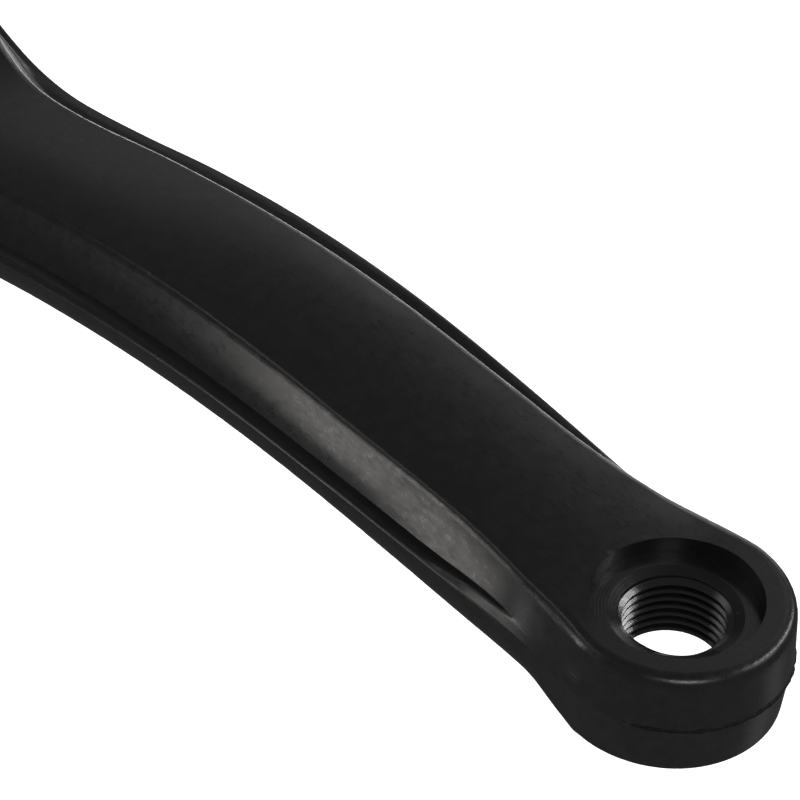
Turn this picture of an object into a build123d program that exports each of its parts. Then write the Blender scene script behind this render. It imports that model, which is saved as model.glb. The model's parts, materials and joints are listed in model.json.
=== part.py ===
from build123d import *
import math
import os

# Bicycle crank arm, one forged aluminium piece. Millimetres.
# The origin is on the spindle axis, at the inner face of the spindle boss.
# +X runs from the spindle to the pedal, +Z points outwards, away from the bicycle.

crank_length = 170.0        # spindle axis to pedal axis

# Pedal eye, forged in two die halves that meet at the parting line
eye_thickness = 15.3
eye_rim_radius = 14.6       # at the outer face
eye_outer_draft = 0.45      # the upper wall widens by this down to the parting line
eye_inner_draft = 0.65      # the lower wall narrows by this down to the inner face
parting_depth = 7.9         # parting line below the outer face of the eye
eye_edge = 1.6              # rounding at the outer face
eye_heel = 0.8              # rounding at the inner face
die_offset = 0.7            # the lower die half sits this far towards the spindle
die_allowance = 0.3         # and is this much larger, so its step shows at the tip only
step_reach = 3.0            # the step is looked for this far behind the pedal axis

# Pedal thread, 9/16 inch with 20 threads to the inch, bored to its major diameter
pedal_thread_radius = 7.14
recess_radius = 10.75       # spot face on both sides of the eye
recess_depth = 2.65
outer_lead_in = 1.3         # width of the chamfers at the ends of the thread
inner_lead_in = 0.6
lead_in_slope = 0.42        # depth of those chamfers for their width

# Section of the arm
plateau_half_width = 10.6   # raised middle of the outer face, towards the pedal
plateau_waist = 0.6         # how much narrower each half is towards the spindle
plateau_height = 5.0        # plateau edge above the parting line
crown = 0.8                 # rise of the plateau from its edge to its middle
crest_edge = 0.9            # rounding of the plateau edge
flange_reach = 7.3          # flange beyond the plateau, where the arm's sides are straight
rim_edge = 0.3              # rounding of the flange's rim
ledge_width = 1.6           # level ledge at the foot of the flute
ledge_fall = 0.1            # its slope, down towards the flute
ledge_edge = 0.25           # rounding of its outer edge
ledge_least = 0.4           # what is left of it, along the side, where it has run out
land_wide = 1.4             # land between the ledge and the rim, towards the spindle
land_narrow = 0.75          # and towards the pedal
land_fall = 0.1             # slope of that land
side_wall = 0.4             # straight wall under the rim, along the arm
eye_side_wall = 1.3         # and near the eye
heel_drop = 4.6             # height of the large rounding below that wall
heel_run = 5.4              # width of the large rounding

# Flank of the flute, turned away from the straight line between its ends, in degrees
flank_steepening = 10.0     # at the top, where it is steeper
flank_easing = 17.0         # at the foot, where it is flatter
flank_grip = 0.36           # share of its length over which each end keeps its direction

# Places along the arm, from the spindle axis
level_end = 10.0            # the boss is level as far as this
root_start = 30.0           # the arm has its full slope from here
root_end = 50.0             # and up to here, where the arch begins
root_slope = 0.313
pedal_slope = 0.06          # slope left after the arch

# Places along the arm, from the pedal axis
arch_end = 57.0             # the arch ends here
foot_start = 34.0           # the flute's foot climbs the side of the eye between these
foot_end = 14.0
foot_share = 0.24           # how far up that side it ends
rise_start = 17.0           # the outer face rises to the eye from here
ledge_tip = 13.0            # the ledge comes to its point here
ledge_fade = 20.0           # length over which it narrows to that point
ledge_turn = 2.5            # length over which its point turns into the side
flute_tip = 13.0            # the flute has run out here
flute_fade = 30.0           # length of its run-out
eye_level = 13.5            # the parting line is level from here
heel_start = 10.8           # the large rounding shrinks to the eye's from here

# Spindle boss
boss_thickness = 24.0
boss_top_radius = 18.5
boss_ledge = 2.8            # flange beyond the top of the boss
boss_heel = 2.4             # rounding at the inner side of the flange
plateau_flare_radius = 98.0     # concave sweeps from the arm's sides into the ends
flange_flare_radius = 270.0
eye_flare_radius = 138.0
inner_boss_radius = 16.0
inner_boss_edge = 0.8       # rounding at the inner face
skirt_radius = 3.0          # concave skirt between the inner boss and the arm
skirt_turn = 60.0           # turn of that skirt, in degrees
skirt_start = 3.1           # it begins this far below the inner side of the flange
socket_flats = 12.8         # square taper across its flats, at the small end
socket_length = 15.0
socket_angle = 2.0          # taper of each flat, in degrees
socket_corner = 1.2
extractor_radius = 11.0     # extractor thread, M22 x 1, bored to its major diameter
extractor_lead_in = 0.6

# Stations of the arm's sections, from the spindle axis and from the pedal axis
boss_stations = (0.0, 3.0, 6.0, 10.0, 14.0, 18.0, 22.0, 26.0, 30.0, 36.0, 43.0)
eye_stations = (38.0, 32.0, 27.0, 23.0, 20.0, 17.0, 14.5, 12.0, 9.5, 7.0, 4.5, 2.0, 0.0)
middle_stations = 9

clear = 2.0                 # how far the cutting shapes reach past the faces

plateau_root_width = plateau_half_width - plateau_waist
flange_half_width = plateau_root_width + flange_reach
boss_flange_radius = boss_top_radius + boss_ledge
eye_parting_radius = eye_rim_radius + eye_outer_draft
eye_inner_radius = eye_parting_radius - eye_inner_draft
bend_end = crank_length - arch_end


def eased(run, length):
    """Height of a slope that grows evenly from 0 to 1 over a length and then stays."""
    if run <= 0:
        return 0.0
    if run < length:
        return run * run / (2 * length)
    return run - length / 2


def limited(share):
    return min(max(share, 0.0), 1.0)


def smooth(value, start, end):
    """Ease from 0 at start to 1 at end, level at both."""
    share = limited((value - start) / (end - start))
    return share * share * (3 - 2 * share)


def mix(first, second, share):
    return first + (second - first) * share


def mix_points(first, second, share):
    return (mix(first[0], second[0], share), mix(first[1], second[1], share))


def towards(start, goal, distance):
    length = math.hypot(goal[0] - start[0], goal[1] - start[1])
    return mix_points(start, goal, distance / length)


def turned(start, goal, degrees, share):
    """Point a share of the way from start to goal, swung round the start."""
    angle = math.radians(degrees)
    run = (goal[0] - start[0]) * share
    rise = (goal[1] - start[1]) * share
    across = start[0] + run * math.cos(angle) - rise * math.sin(angle)
    return (across, start[1] + run * math.sin(angle) + rise * math.cos(angle))


def arch_height(x):
    """Line of the arm: level at the boss, steep at the root, then nearly level."""
    height = boss_thickness - plateau_height
    height += root_slope * eased(x - level_end, root_start - level_end)
    height -= (root_slope - pedal_slope) * eased(x - root_end, bend_end - root_end)
    return height


def parting_height(x):
    """Parting line: the arm's own line, turned level before the eye."""
    turn = crank_length - eye_level - bend_end
    return arch_height(x) - pedal_slope * eased(x - bend_end, turn)


eye_outer_face = parting_height(crank_length) + parting_depth
eye_inner_face = eye_outer_face - eye_thickness
eye_step = parting_height(crank_length) - rim_edge


def flared(distance, straight, end_radius, flare):
    """Half width beside a round end that a concave arc joins to a straight side."""
    if end_radius <= straight:
        return mix(end_radius, straight, smooth(distance, 0.0, end_radius))
    start = math.sqrt((end_radius + flare) ** 2 - (straight + flare) ** 2)
    tangent = start * end_radius / (end_radius + flare)
    if distance >= start:
        return straight
    if distance >= tangent:
        return straight + flare - math.sqrt(flare ** 2 - (start - distance) ** 2)
    return math.sqrt(end_radius ** 2 - distance ** 2)


def plateau_width(x):
    if x < root_end:
        return flared(x, plateau_root_width, boss_top_radius, plateau_flare_radius)
    straight = mix(plateau_root_width, plateau_half_width, smooth(x, root_end, bend_end))
    return flared(crank_length - x, straight, eye_rim_radius, eye_flare_radius)


def flange_width(x):
    """Half width of the flange: flared at the boss, then narrowing evenly to the eye."""
    if x < root_end:
        return flared(x, flange_half_width, boss_flange_radius, flange_flare_radius)
    share = limited((x - root_end) / (crank_length - eye_level - root_end))
    return mix(flange_half_width, eye_parting_radius, share ** 2)


def half_section(x):
    """Control points of one half of the section, as (y, z), from the crest to the heel."""
    parting = parting_height(x)
    to_pedal = crank_length - x
    rise = smooth(to_pedal, rise_start, 0.0)
    flute = smooth(to_pedal, flute_tip, flute_tip + flute_fade)
    climb = smooth(to_pedal, foot_start, foot_end)
    eye = smooth(to_pedal, heel_start, 0.0)
    boss = smooth(x, root_start, level_end)

    crest = (plateau_width(x), mix(arch_height(x) + plateau_height, eye_outer_face, rise))
    edge = mix(crest_edge, eye_edge, rise)
    rim = (flange_width(x), parting)
    land = mix(land_wide, land_narrow, smooth(x, root_end, bend_end))
    brink = (rim[0] - land, parting + land_fall * land)
    brink = mix_points(brink, mix_points(rim, crest, foot_share), climb)
    ledge = ledge_width * math.sqrt(limited((to_pedal - ledge_tip) / ledge_fade))
    foot = (brink[0] - ledge, brink[1] - ledge_fall * ledge)
    level_share = smooth(to_pedal, ledge_tip, ledge_tip + ledge_turn) * (1 - boss)
    foot = mix_points(towards(brink, crest, ledge_least), foot, level_share)

    steep = turned(crest, foot, -flank_steepening * math.sqrt(flute), flank_grip)
    level = turned(foot, crest, flank_easing * flute, flank_grip)
    flank_start = towards(crest, steep, edge)
    ledge_stop = towards(brink, foot, ledge_edge)
    land_start = towards(brink, rim, ledge_edge)
    land_stop = towards(rim, brink, rim_edge)

    wall_top = (rim[0], parting - rim_edge)
    wall = mix(side_wall, eye_side_wall, smooth(x, bend_end, crank_length - eye_level))
    corner = (wall_top[0], wall_top[1] - wall - heel_drop)
    corner = mix_points(corner, (eye_inner_radius, eye_inner_face), eye)
    drop = mix(mix(heel_drop, boss_heel, boss), eye_heel, eye)
    run = mix(mix(heel_run, boss_heel, boss), eye_heel, eye)
    wall_end = (corner[0], corner[1] + drop)
    inner_start = (corner[0] - run, corner[1])
    return (
        ((crest[0] - edge, crest[1]), crest, flank_start),
        (flank_start, steep, level, foot),
        (foot, ledge_stop),
        (ledge_stop, brink, land_start),
        (land_start, land_stop),
        (land_stop, rim, wall_top),
        (wall_top, wall_end),
        (wall_end, corner, inner_start),
    )


def curve(x, points):
    return Bezier(*[(x, y, z) for y, z in points])


def mirrored(points):
    return [(-y, z) for y, z in reversed(points)]


def arm_section(x):
    """Closed section of the arm in the plane at x."""
    half = half_section(x)
    edge = half[0][0]
    heel = half[-1][-1]
    crowned = smooth(x, crank_length, crank_length - rise_start) * smooth(x, level_end, root_end)
    peak = edge[1] + 2 * crown * crowned
    edges = [curve(x, ((-edge[0], edge[1]), (0, peak), edge))]
    edges += [curve(x, points) for points in half]
    edges += [curve(x, (heel, (-heel[0], heel[1])))]
    edges += [curve(x, mirrored(points)) for points in reversed(half)]
    return Face(Wire(edges))


def round_end(x, side):
    """Half turn of the end section about its own axis; side is 1 or -1, the half it starts from."""
    half = half_section(x)
    edge = half[0][0]
    heel = half[-1][-1]
    outline = [((0, edge[1]), edge)] + list(half) + [(heel, (0, heel[1]))]
    edges = [curve(x, [(side * y, z) for y, z in points]) for points in outline]
    edges.append(curve(x, ((0, heel[1]), (0, edge[1]))))
    return revolve(Face(Wire(edges)), Axis((x, 0, 0), (0, 0, 1)), 180)


def arm_body():
    first = boss_stations[-1]
    last = crank_length - eye_stations[0]
    step = (last - first) / (middle_stations + 1)
    stations = list(boss_stations)
    stations += [first + step * (index + 1) for index in range(middle_stations)]
    stations += [crank_length - distance for distance in eye_stations]
    body = loft([arm_section(x) for x in stations])
    return body + round_end(crank_length, -1) + round_end(0.0, 1)


def inner_boss():
    """Round boss on the inner side, which carries the square taper, with its skirt."""
    seat = half_section(0.0)[-1][-1][1]
    skirt = seat - skirt_start
    turn = math.radians(skirt_turn)
    centre = inner_boss_radius + skirt_radius
    middle = (centre - skirt_radius * math.cos(turn / 2), skirt + skirt_radius * math.sin(turn / 2))
    turned = (centre - skirt_radius * math.cos(turn), skirt + skirt_radius * math.sin(turn))
    ended = (turned[0] + skirt_start * math.sin(turn), turned[1] + skirt_start * math.cos(turn))
    face_edge = (inner_boss_radius - inner_boss_edge, 0)
    side_edge = (inner_boss_radius, inner_boss_edge)
    edges = [
        Line((0, 0), face_edge),
        Bezier(face_edge, (inner_boss_radius, 0), side_edge),
        Line(side_edge, (inner_boss_radius, skirt)),
        ThreePointArc((inner_boss_radius, skirt), middle, turned),
        Line(turned, ended),
        Line(ended, (0, ended[1])),
        Line((0, ended[1]), (0, 0)),
    ]
    outline = Plane.XZ * Face(Wire(edges))
    return revolve(outline, Axis.Z, 360)


def die_step():
    """What the lower die half leaves off at the tip of the eye, under the parting line."""
    low = eye_inner_face - clear
    draft = eye_inner_draft / (eye_step - eye_inner_face)
    top_radius = eye_parting_radius + die_allowance
    low_radius = top_radius - draft * (eye_step - low)
    height = eye_step - low
    centre = crank_length - die_offset
    bottom = (Align.CENTER, Align.CENTER, Align.MIN)
    ring = Cylinder(2 * top_radius, height, align=bottom) - Cone(low_radius, top_radius, height, align=bottom)
    reach = Box(4 * top_radius, 4 * top_radius, 4 * height, align=(Align.MIN, Align.CENTER, Align.CENTER))
    return Pos(centre, 0, low) * ring & Pos(crank_length - step_reach, 0, low) * reach


def pedal_hole():
    """Bore, its chamfers and the spot faces on both sides of the eye."""
    outer_floor = eye_outer_face - recess_depth
    inner_floor = eye_inner_face + recess_depth
    points = [
        (0, eye_outer_face + clear),
        (recess_radius, eye_outer_face + clear),
        (recess_radius, outer_floor),
        (pedal_thread_radius + outer_lead_in, outer_floor),
        (pedal_thread_radius, outer_floor - lead_in_slope * outer_lead_in),
        (pedal_thread_radius, inner_floor + lead_in_slope * inner_lead_in),
        (pedal_thread_radius + inner_lead_in, inner_floor),
        (recess_radius, inner_floor),
        (recess_radius, eye_inner_face - clear),
        (0, eye_inner_face - clear),
    ]
    outline = Polyline(*[(crank_length + r, 0, z) for r, z in points], close=True)
    return revolve(Face(Wire(outline.edges())), Axis((crank_length, 0, 0), (0, 0, 1)), 360)


def spindle_hole():
    """Square taper from the inner face and the extractor's bore from the outer face."""
    taper = 2 * math.tan(math.radians(socket_angle))
    large = socket_flats + taper * (socket_length + clear)
    sketches = [
        Plane.XY.offset(-clear) * RectangleRounded(large, large, socket_corner),
        Plane.XY.offset(socket_length) * RectangleRounded(socket_flats, socket_flats, socket_corner),
    ]
    socket = loft(sketches, ruled=True)
    points = [
        (0, socket_length),
        (extractor_radius, socket_length),
        (extractor_radius, boss_thickness - extractor_lead_in),
        (extractor_radius + extractor_lead_in + clear, boss_thickness + clear),
        (0, boss_thickness + clear),
    ]
    outline = Polyline(*[(r, 0, z) for r, z in points], close=True)
    return socket + revolve(Face(Wire(outline.edges())), Axis.Z, 360)


os.makedirs("parts", exist_ok=True)

crank_arm = arm_body() + inner_boss()
crank_arm = crank_arm - die_step() - pedal_hole() - spindle_hole()
export_step(crank_arm, "parts/crank_arm.step")
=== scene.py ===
import json
import math

import bpy
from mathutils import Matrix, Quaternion, Vector


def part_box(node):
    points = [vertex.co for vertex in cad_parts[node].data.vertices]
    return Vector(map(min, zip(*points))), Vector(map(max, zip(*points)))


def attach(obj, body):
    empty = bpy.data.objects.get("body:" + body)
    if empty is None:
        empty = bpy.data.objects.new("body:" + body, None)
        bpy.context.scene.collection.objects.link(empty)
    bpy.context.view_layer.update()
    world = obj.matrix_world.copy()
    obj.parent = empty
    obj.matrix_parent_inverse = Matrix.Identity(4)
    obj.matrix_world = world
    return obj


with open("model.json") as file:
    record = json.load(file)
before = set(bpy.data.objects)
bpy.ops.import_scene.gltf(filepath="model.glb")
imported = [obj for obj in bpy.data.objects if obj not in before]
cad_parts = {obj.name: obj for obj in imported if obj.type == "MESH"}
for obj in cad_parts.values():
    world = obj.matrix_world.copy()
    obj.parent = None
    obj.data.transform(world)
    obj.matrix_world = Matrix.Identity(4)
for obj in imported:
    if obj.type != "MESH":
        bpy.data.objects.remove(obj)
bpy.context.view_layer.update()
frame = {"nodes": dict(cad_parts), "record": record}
scene = bpy.context.scene
mounts = {mount["name"]: mount for mount in frame["record"]["mounts"]}
mm = 0.001
pedalX = mounts["pedal_thread"]["pos_m"][0]
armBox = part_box("crank_arm")
eyeFace = armBox[1][2]            # the eye's outer face is the highest part of the arm
eyeRadius = armBox[1][0] - pedalX
print("frame loaded:", ", ".join(frame["nodes"]))


class Signal:                     # one output socket; maths on it adds Math nodes to its tree
    def __init__(self, board, socket):
        self.board = board
        self.socket = socket

    def calc(self, operation, *others):
        sockets = dict(enumerate((self,) + others))
        return self.board.add("ShaderNodeMath", {"operation": operation}, sockets)

    def __add__(self, other):
        return self.calc("ADD", other)

    def __radd__(self, other):
        return self.calc("ADD", other)

    def __sub__(self, other):
        return self.calc("SUBTRACT", other)

    def __rsub__(self, other):
        return self.calc("MULTIPLY_ADD", -1.0, other)

    def __mul__(self, other):
        return self.calc("MULTIPLY", other)

    def __rmul__(self, other):
        return self.calc("MULTIPLY", other)

    def __truediv__(self, other):
        return self.calc("DIVIDE", other)

    def __rtruediv__(self, other):
        return self.calc("POWER", -1.0) * other

    def least(self, other):
        return self.calc("MINIMUM", other)

    def most(self, other):
        return self.calc("MAXIMUM", other)

    def root(self):
        return self.calc("SQRT")

    def sine(self):
        return self.calc("SINE")

    def swing(self, amount):      # a noise, measured from its middle
        return (self - 0.5) * amount

    def ease(self, start, end):   # a smooth step from 0 to 1
        sockets = {"Value": self, "From Min": start, "From Max": end, "To Min": 0.0, "To Max": 1.0}
        return self.board.add("ShaderNodeMapRange", {"interpolation_type": "SMOOTHSTEP"}, sockets)


class Board:                      # a node tree, and the one way to put a node into it
    def __init__(self, tree):
        self.tree = tree

    def add(self, kind, settings=None, sockets=None, out=0):
        node = self.tree.nodes.new(kind)
        for name, value in (settings or {}).items():
            setattr(node, name, value)
        for name, value in (sockets or {}).items():
            if isinstance(value, Signal):
                self.tree.links.new(value.socket, node.inputs[name])
            else:
                node.inputs[name].default_value = value
        return Signal(self, node.outputs[out]) if out is not None else node

    def split(self, vector):
        node = self.add("ShaderNodeSeparateXYZ", None, {"Vector": vector}, out=None)
        return [Signal(self, socket) for socket in node.outputs]

    def noise(self, place, size, detail):
        sockets = {"Vector": place, "Scale": 1 / size, "Detail": detail}
        return self.add("ShaderNodeTexNoise", None, sockets)

    def bump(self, height):       # height in millimetres
        sockets = {"Height": height, "Strength": 1.0, "Distance": mm}
        return self.add("ShaderNodeBump", None, sockets)

    def mixColours(self, share, first, second):
        return self.add("ShaderNodeMix", {"data_type": "RGBA"}, {0: share, 6: first, 7: second}, out=2)


def newMaterial(name):
    material = bpy.data.materials.new(name)
    material.use_nodes = True
    material.node_tree.nodes.clear()
    return material, Board(material.node_tree)


def finishMaterial(board, sockets):
    shader = board.add("ShaderNodeBsdfPrincipled", None, sockets)
    board.add("ShaderNodeOutputMaterial", None, {"Surface": shader}, out=None)


# camera at the photograph's viewing angle
cameraView = {
    "place": (0.56858, -0.40844, 0.58563),
    "aim": (0.115513, 0.001643, 0.040),
    "roll": 4.951,                # degrees
    "lens": 292.5,
    "sensor": 36.0,
    "clip": (0.01, 50.0),
}


def makeCamera(v):
    data = bpy.data.cameras.new("photoCamera")
    data.lens = v["lens"]
    data.sensor_width = v["sensor"]
    data.clip_start, data.clip_end = v["clip"]
    camera = bpy.data.objects.new("photoCamera", data)
    scene.collection.objects.link(camera)
    camera.location = v["place"]
    look = Vector(v["aim"]) - Vector(v["place"])
    level = look.to_track_quat("-Z", "Y")
    camera.rotation_mode = "QUATERNION"
    camera.rotation_quaternion = level @ Quaternion((0, 0, 1), math.radians(v["roll"]))
    scene.camera = camera


makeCamera(cameraView)
print("camera placed")


# satin black over forged aluminium, with turned faces in the holes; sizes in millimetres
satinBlack = {
    "deep": (0.0112, 0.0112, 0.0120, 1),
    "faded": (0.0136, 0.0136, 0.0140, 1),
    "markTone": (0.036, 0.036, 0.035, 1),     # paler tone of the marks listed below
    "ior": 1.5,
    "roughness": 0.31,
    "grain": 0.38,                # blasted grain, its height and its spread of roughness
    "grainHeight": 0.0025,
    "grainSpread": 0.10,
    "streak": 0.55,               # faint streaks: width, length along the arm and spread of roughness
    "streakLength": 1.6,
    "streakSpread": 0.18,
    "ripple": 7.0,                # slow unevenness of the forging
    "rippleHeight": 0.05,
    "mottle": 2.2,                # patches of fading, and their spread of roughness
    "mottleSpread": 0.08,
    "fadeEdge": (0.35, 0.7),
    "eyeRing": 10.5,              # inside these radii the faces are turned
    "bossRing": 11.7,
    "ringEdge": 0.04,
    "ringPitch": 0.42,
    "ringHeight": 0.0025,
    "ringWander": 6.0,
    "turnedSmoother": 0.08,       # less roughness on the turned faces
    "markRagged": 1.5,
    "markEdge": (0.35, 0.8),
    "paleMarks": (                    # paler marks in the recess: place from the pedal axis and the eye's outer face, and size
        ((-10.80, -1.35, -0.4), 0.80),
        ((-10.75, -1.55, -1.2), 0.80),
        ((-10.70, -1.80, -2.0), 0.80),
        ((4.1, 6.35, -2.9), 0.34),
        ((9.6, 3.1, -2.65), 0.34),
    ),
    "dull": ((-1.1, -14.9, -5.62), 1.5),  # a rough spot where the ledge runs out, placed like the paler marks
    "dullEdge": (0.6, 1.0),
    "dullRoughness": 0.30,        # added there
}


def makeSatinBlack(v):
    material, b = newMaterial("satinBlack")
    place = b.add("ShaderNodeTexCoord", out="Object")
    inMm = b.add("ShaderNodeVectorMath", {"operation": "SCALE"}, {0: place, "Scale": 1 / mm})
    x, y = b.split(inMm)[:2]
    eyeX = x - pedalX / mm
    eyeRing = (eyeX * eyeX + y * y).root()
    bossRing = (x * x + y * y).root()
    edge = v["ringEdge"]
    inEye = 1 - eyeRing.ease(v["eyeRing"] - edge, v["eyeRing"] + edge)
    inBoss = 1 - bossRing.ease(v["bossRing"] - edge, v["bossRing"] + edge)
    turned = inEye.most(inBoss)
    grain = b.noise(inMm, v["grain"], detail=1.0)
    shrunk = (v["streak"] / v["streakLength"], 1.0, 1.0)
    along = b.add("ShaderNodeVectorMath", {"operation": "MULTIPLY"}, {0: inMm, 1: shrunk})
    streaks = b.noise(along, v["streak"], detail=2.0)
    ripple = b.noise(inMm, v["ripple"], detail=1.0)
    mottle = b.noise(inMm, v["mottle"], detail=3.0)
    rings = eyeRing * inEye + bossRing * inBoss
    groove = (rings * (2 * math.pi / v["ringPitch"]) + ripple * v["ringWander"]).sine() * mottle
    height = grain * (1 - turned) * v["grainHeight"] + groove * turned * v["ringHeight"]
    height = height + ripple * v["rippleHeight"]

    def reachFrom(offset):
        centre = (pedalX / mm + offset[0], offset[1], eyeFace / mm + offset[2])
        return b.add("ShaderNodeVectorMath", {"operation": "DISTANCE"}, {0: inMm, 1: centre}, out="Value")

    # paler marks at the listed places: a lighter colour mixed over the finish there, with ragged edges
    markedShare = 0.0
    for offset, size in v["paleMarks"]:
        markShare = 1 - (reachFrom(offset) / size + mottle.swing(v["markRagged"])).ease(*v["markEdge"])
        markedShare = markShare.most(markedShare)
    dullPlace, dullSize = v["dull"]
    dull = 1 - (reachFrom(dullPlace) / dullSize).ease(*v["dullEdge"])
    colour = b.mixColours(mottle.ease(*v["fadeEdge"]), v["deep"], v["faded"])
    colour = b.mixColours(markedShare, colour, v["markTone"])
    roughness = v["roughness"] + grain.swing(v["grainSpread"]) + mottle.swing(v["mottleSpread"])
    roughness = roughness - turned * v["turnedSmoother"] + dull * v["dullRoughness"]
    roughness = roughness + streaks.swing(v["streakSpread"]) * (1 - turned)
    sockets = {"Base Color": colour, "Roughness": roughness, "Normal": b.bump(height), "IOR": v["ior"]}
    finishMaterial(b, sockets)
    return material


satin = makeSatinBlack(satinBlack)
arm = frame["nodes"]["crank_arm"]
arm.data.materials.clear()
arm.data.materials.append(satin)
print("arm finished in satin black")


# thread ridges: a trapezoid swept along a helix and trimmed by the chamfers at both ends
pedalThread = {
    "name": "pedal_thread_ridge", "mount": "pedal_thread",
    "pitch": 1.27 * mm, "depth": 0.70 * mm, "leftHand": True,
    "shift": -0.1 * mm,           # of the helix along the bore
    "slope": 0.42,                # of the trim at both ends, height for each unit of depth
}
extractorThread = {
    "name": "extractor_thread_ridge", "mount": "extractor_thread",
    "pitch": 1.0 * mm, "depth": 0.54 * mm, "leftHand": False,
    "shift": 0.0,
    "slope": 1.0,
}
threadLook = {
    "perTurn": 96,
    "root": 0.90,                 # widths as shares of the pitch
    "crest": 0.24,
    "sunk": 0.07 * mm,            # of the ridge's foot in the wall
    "overrun": 1.0,               # turns past each end, which the trim flattens into the wall
    "weld": 0.002 * mm,
}
cutThread = {                     # black and smoother than the arm
    "deep": (0.0065, 0.0065, 0.0068, 1),
    "worn": (0.0090, 0.0090, 0.0090, 1),
    "ior": 1.9,
    "roughness": 0.14,
    "stain": 0.9 * mm,            # patches of wear, and their spread of roughness
    "stainEdge": (0.45, 0.75),
    "stainSpread": 0.1,
    "chatter": 0.15 * mm,         # marks of the cutter, and their height in millimetres
    "chatterHeight": 0.0012,
}


def makeCutThread(v):
    material, b = newMaterial("cutThread")
    place = b.add("ShaderNodeTexCoord", out="Object")
    stain = b.noise(place, v["stain"], detail=3.0)
    chatter = b.noise(place, v["chatter"], detail=1.0)
    bump = b.bump(chatter * v["chatterHeight"])
    colour = b.mixColours(stain.ease(*v["stainEdge"]), v["deep"], v["worn"])
    roughness = v["roughness"] + stain.swing(v["stainSpread"])
    finishMaterial(b, {"Base Color": colour, "Roughness": roughness, "Normal": bump, "IOR": v["ior"]})
    return material


def newTree(name, inputs):
    tree = bpy.data.node_groups.new(name, "GeometryNodeTree")
    for label, kind in inputs:
        tree.interface.new_socket(label, in_out="INPUT", socket_type="NodeSocket" + kind)
    tree.interface.new_socket("Mesh", in_out="OUTPUT", socket_type="NodeSocketGeometry")
    b = Board(tree)
    node = b.add("NodeGroupInput", out=None)
    return b, {socket.name: Signal(b, socket) for socket in node.outputs if socket.name}


def closeTree(b, mesh, given):
    placed = b.add("GeometryNodeTransform", None, {"Geometry": mesh, "Translation": given["Centre"]})
    real = b.add("GeometryNodeRealizeInstances", None, {"Geometry": placed})
    finished = b.add("GeometryNodeSetMaterial", None, {"Geometry": real, "Material": given["Finish"]})
    b.add("NodeGroupOutput", None, {"Mesh": finished}, out=None)
    return b.tree


def threadTree():
    b, given = newTree("threadRidge", (
        ("Radius", "Float"), ("Depth", "Float"), ("Pitch", "Float"), ("Length", "Float"),
        ("Shift", "Float"), ("Slope", "Float"), ("Left Hand", "Bool"), ("Centre", "Vector"),
        ("Finish", "Material")))
    radius, pitch, length = given["Radius"], given["Pitch"], given["Length"]
    base = radius + threadLook["sunk"]
    high = given["Depth"] + threadLook["sunk"]
    middle = base - high * 0.5
    overrun = pitch * threadLook["overrun"]
    tall = length + overrun * 2
    helix = b.add("GeometryNodeCurveSpiral", None, {
        "Resolution": threadLook["perTurn"], "Rotations": tall / pitch, "Start Radius": middle,
        "End Radius": middle, "Height": tall, "Reverse": True})    # climbs right-hand
    upright = b.add("GeometryNodeSetCurveNormal", {"mode": "Z_UP"}, {"Curve": helix})
    section = b.add("GeometryNodeCurvePrimitiveQuadrilateral", {"mode": "TRAPEZOID"}, {
        "Height": high, "Bottom Width": pitch * threadLook["root"],
        "Top Width": pitch * threadLook["crest"], "Offset": 0.0})
    inward = b.add("GeometryNodeTransform", None, {"Geometry": section, "Rotation": (0, 0, math.pi / 2)})
    sweep = {"Curve": upright, "Profile Curve": inward, "Fill Caps": True}
    swept = b.add("GeometryNodeCurveToMesh", None, sweep)
    x, y, z = b.split(b.add("GeometryNodeInputPosition"))
    ring = (x * x + y * y).root()
    level = (z - overrun + given["Shift"]).least(length).most(0.0)
    mouth = radius - (length - level) / given["Slope"]
    foot = radius - level / given["Slope"]
    grown = ring.most(mouth.most(foot).least(radius)) / ring
    hand = 1 - given["Left Hand"] * 2.0
    place = {"X": x * grown, "Y": y * grown * hand, "Z": level - length * 0.5}
    moved = b.add("ShaderNodeCombineXYZ", None, place)
    shaped = b.add("GeometryNodeSetPosition", None, {"Geometry": swept, "Position": moved})
    weld = {"Geometry": shaped, "Distance": threadLook["weld"]}
    merged = b.add("GeometryNodeMergeByDistance", None, weld)
    faced = b.add("GeometryNodeFlipFaces", None, {"Mesh": merged, "Selection": given["Left Hand"]})
    shading = {"Geometry": faced, "Shade Smooth": False}
    flat = b.add("GeometryNodeSetShadeSmooth", {"domain": "FACE"}, shading)
    return closeTree(b, flat, given)


def bakeNodes(name, tree, values, body):
    holder = bpy.data.objects.new(name, bpy.data.meshes.new(name))
    scene.collection.objects.link(holder)
    modifier = holder.modifiers.new("nodes", "NODES")
    modifier.node_group = tree
    for item in tree.interface.items_tree:
        if item.item_type == "SOCKET" and item.in_out == "INPUT":
            modifier[item.identifier] = values[item.name]
    bpy.context.view_layer.update()
    evaluated = holder.evaluated_get(bpy.context.evaluated_depsgraph_get())
    mesh = bpy.data.meshes.new_from_object(evaluated)
    holder.modifiers.clear()
    holder.data = mesh
    mesh.name = name
    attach(holder, body)
    print(name, len(mesh.polygons), "faces")


ridgeTree = threadTree()
threadFinish = makeCutThread(cutThread)
for v in (pedalThread, extractorThread):
    mount = mounts[v["mount"]]
    values = {
        "Radius": mount["dims"]["r_mm"] * mm, "Depth": v["depth"], "Pitch": v["pitch"],
        "Length": mount["dims"]["length_mm"] * mm, "Shift": v["shift"], "Slope": v["slope"],
        "Left Hand": v["leftHand"], "Centre": tuple(mount["pos_m"]), "Finish": threadFinish,
    }
    bakeNodes(v["name"], ridgeTree, values, "root")


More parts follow.
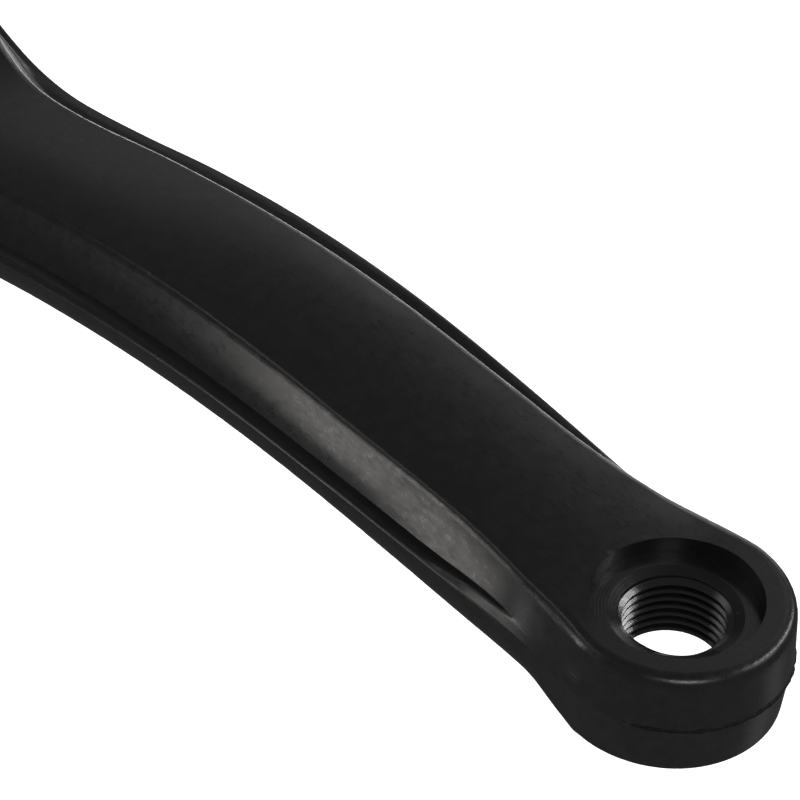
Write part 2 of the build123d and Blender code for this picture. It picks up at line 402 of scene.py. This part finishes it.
# flash left at the parting line round the tip of the eye: an uneven bead
flash = {
    "depth": 8.05 * mm,           # below the eye's outer face
    "sunk": 0.10 * mm,            # of the bead's middle in the wall
    "bead": 0.26 * mm,
    "unevenness": 0.30 * mm,
    "spacing": 1.1 * mm,          # of the unevenness
    "start": -72.0,               # degrees round the pedal axis
    "sweep": 144.0,
    "points": 220,
    "sides": 8,
    "seed": 5.0,
    "driftSeed": 7.0,             # added to the seed for the slow rise and fall
    "driftRate": 0.4,             # of the unevenness's own
    "driftRise": 2.0,
    "leastGirth": 0.45,           # shares of the bead
    "girthSpread": 0.9,
    "tailGirth": 0.05,
    "taper": 0.35,                # the bead is full where the sine along the run passes this
}
# painted shade: the bead is coloured far darker and kept duller than the arm, standing in for the shadow
# line under the parting step
flashPaintedShade = {
    "deep": (0.0030, 0.0030, 0.0032, 1),
    "worn": (0.009, 0.009, 0.009, 1),
    "specular": 0.25,
    "roughness": 0.62,
    "tear": 0.35 * mm,            # torn grain, its height in millimetres and spread of roughness
    "tearHeight": 0.05,
    "tearEdge": (0.45, 0.75),
    "tearSpread": 0.3,
}


def flashTree():
    b, given = newTree("flashBead", (
        ("Radius", "Float"), ("Bead", "Float"), ("Unevenness", "Float"), ("Spacing", "Float"),
        ("Start", "Float"), ("Sweep", "Float"), ("Points", "Int"), ("Seed", "Float"),
        ("Centre", "Vector"), ("Finish", "Material")))
    arc = b.add("GeometryNodeCurveArc", {"mode": "RADIUS"}, {
        "Resolution": given["Points"], "Radius": given["Radius"],
        "Start Angle": given["Start"], "Sweep Angle": given["Sweep"]})
    place = b.add("GeometryNodeInputPosition")
    scale = 1 / given["Spacing"]
    seeded = {"noise_dimensions": "4D"}
    rough = b.add("ShaderNodeTexNoise", seeded, {"Vector": place, "W": given["Seed"], "Scale": scale})
    slowSeed = given["Seed"] + flash["driftSeed"]
    slow = {"Vector": place, "W": slowSeed, "Scale": scale * flash["driftRate"]}
    drift = b.add("ShaderNodeTexNoise", seeded, slow)
    x, y = b.split(place)[:2]
    grown = rough.swing(given["Unevenness"]) / given["Radius"] + 1
    rise = drift.swing(given["Unevenness"]) * flash["driftRise"]
    moved = b.add("ShaderNodeCombineXYZ", None, {"X": x * grown, "Y": y * grown, "Z": rise})
    bent = b.add("GeometryNodeSetPosition", None, {"Geometry": arc, "Position": moved})
    upright = b.add("GeometryNodeSetCurveNormal", {"mode": "Z_UP"}, {"Curve": bent})
    along = b.add("GeometryNodeSplineParameter", out="Factor")
    ends = (along * math.pi).sine().ease(0.0, flash["taper"])
    girth = (flash["leastGirth"] + rough * flash["girthSpread"]) * ends + flash["tailGirth"]
    circle = {"Resolution": flash["sides"], "Radius": given["Bead"]}
    section = b.add("GeometryNodeCurvePrimitiveCircle", None, circle)
    sweep = {"Curve": upright, "Profile Curve": section, "Fill Caps": True, "Scale": girth}
    swept = b.add("GeometryNodeCurveToMesh", None, sweep)
    return closeTree(b, swept, given)


# painted shade along the parting step: a dark, dull finish for the bead; its torn grain is its own
def makeFlashPaintedShade(v):
    material, b = newMaterial("flashPaintedShade")
    place = b.add("ShaderNodeTexCoord", out="Object")
    tear = b.noise(place, v["tear"], detail=4.0)
    colour = b.mixColours(tear.ease(*v["tearEdge"]), v["deep"], v["worn"])
    roughness = v["roughness"] + tear.swing(v["tearSpread"])
    finishMaterial(b, {
        "Base Color": colour, "Roughness": roughness, "Normal": b.bump(tear * v["tearHeight"]),
        "Specular IOR Level": v["specular"]})
    return material


flashValues = {
    "Radius": eyeRadius - flash["sunk"], "Bead": flash["bead"], "Unevenness": flash["unevenness"],
    "Spacing": flash["spacing"], "Start": math.radians(flash["start"]),
    "Sweep": math.radians(flash["sweep"]), "Points": flash["points"], "Seed": flash["seed"],
    "Centre": (pedalX, 0.0, eyeFace - flash["depth"]), "Finish": makeFlashPaintedShade(flashPaintedShade),
}
bakeNodes("eye_flash", flashTree(), flashValues, "root")


# pale floor well below the arm, which its spindle holds
floorPlan = {
    "height": -0.30, "half": 3.0, "colour": (0.93, 0.93, 0.93, 1), "roughness": 0.9, "glow": 1.0,
}


def makeFloor(v):
    h = v["half"]
    corners = [(-h, -h, v["height"]), (h, -h, v["height"]), (h, h, v["height"]), (-h, h, v["height"])]
    mesh = bpy.data.meshes.new("floor")
    mesh.from_pydata(corners, [], [(0, 1, 2, 3)])
    floor = bpy.data.objects.new("floor", mesh)
    scene.collection.objects.link(floor)
    material, b = newMaterial("paleFloor")
    finishMaterial(b, {
        "Base Color": v["colour"], "Roughness": v["roughness"],
        "Emission Color": v["colour"], "Emission Strength": v["glow"]})
    mesh.materials.append(material)
    floor.visible_glossy = False


makeFloor(floorPlan)


# soft studio light: a dim dome and soft boxes; metres, and degrees as the camera sees the arm
studio = {
    "dome": (0.077, 0.077, 0.080, 1),
    "middle": (0.105, 0.0, 0.03),
    "facing": 44.27,              # of the picture's right, round the spindle axis from +X
    "boxes": (                    # bearing from straight behind, to the right; height above level
        {"name": "leftStrip", "bearing": -104, "height": 8, "far": 0.36, "size": (0.06, 0.22),
         "glow": 5.6, "colour": (1.0, 0.975, 0.94)},
        {"name": "leftHighBox", "bearing": -100, "height": 45, "far": 0.6, "size": (0.20, 0.20),
         "glow": 0.66},
        {"name": "leftThreadStrip", "bearing": -67, "height": 46, "far": 0.565, "size": (0.30, 0.06),
         "glow": 2.0, "roll": 45},
        {"name": "backLeftBox", "bearing": -12, "height": 10, "far": 0.6, "size": (0.20, 0.20),
         "glow": 0.18},
        {"name": "backBox", "bearing": 12, "height": 8, "far": 0.6, "size": (0.30, 0.26), "glow": 1.2},
        {"name": "backHighBox", "bearing": 20, "height": 45, "far": 0.6, "size": (0.20, 0.20),
         "glow": 0.52},
        {"name": "backLowBox", "bearing": -4, "height": -25, "far": 0.6, "size": (0.36, 0.20),
         "glow": 2.1},
        {"name": "rightThreadStrip", "bearing": 64, "height": 36, "far": 0.62, "size": (0.46, 0.04),
         "glow": 19.0, "roll": -45},
        {"name": "rightBox", "bearing": 90, "height": 35, "far": 0.6, "size": (0.20, 0.20), "glow": 2.4},
        {"name": "rightLowBox", "bearing": 76, "height": -40, "far": 0.6, "size": (0.20, 0.20),
         "glow": 0.24},
        {"name": "frontBox", "bearing": 158, "height": 40, "far": 0.6, "size": (0.20, 0.20), "glow": 6.0},
    ),
}


def makeStudio(v):
    world = bpy.data.worlds.new("studio")
    world.use_nodes = True
    world.node_tree.nodes.clear()
    b = Board(world.node_tree)
    sky = b.add("ShaderNodeBackground", None, {"Color": v["dome"], "Strength": 1.0})
    b.add("ShaderNodeOutputWorld", None, {"Surface": sky}, out=None)
    scene.world = world
    for box in v["boxes"]:
        data = bpy.data.lights.new(box["name"], "AREA")
        data.shape = "RECTANGLE"
        data.size, data.size_y = box["size"]
        data.color = box.get("colour", (1.0, 1.0, 1.0))
        data.energy = box["glow"] * math.pi * data.size * data.size_y     # watts for that brightness
        light = bpy.data.objects.new(box["name"], data)
        scene.collection.objects.link(light)
        turn = math.radians(v["facing"] + 90 - box["bearing"])
        height = math.radians(box["height"])
        level = Vector((math.cos(turn), math.sin(turn), 0.0)) * math.cos(height)
        toLight = level + Vector((0.0, 0.0, math.sin(height)))
        light.location = Vector(v["middle"]) + toLight * box["far"]
        light.rotation_mode = "QUATERNION"
        roll = Quaternion((0, 0, 1), math.radians(box.get("roll", 0)))
        light.rotation_quaternion = toLight.to_track_quat("Z", "Y") @ roll
    scene.view_settings.view_transform = "Standard"


makeStudio(studio)
print("floor and lights set")
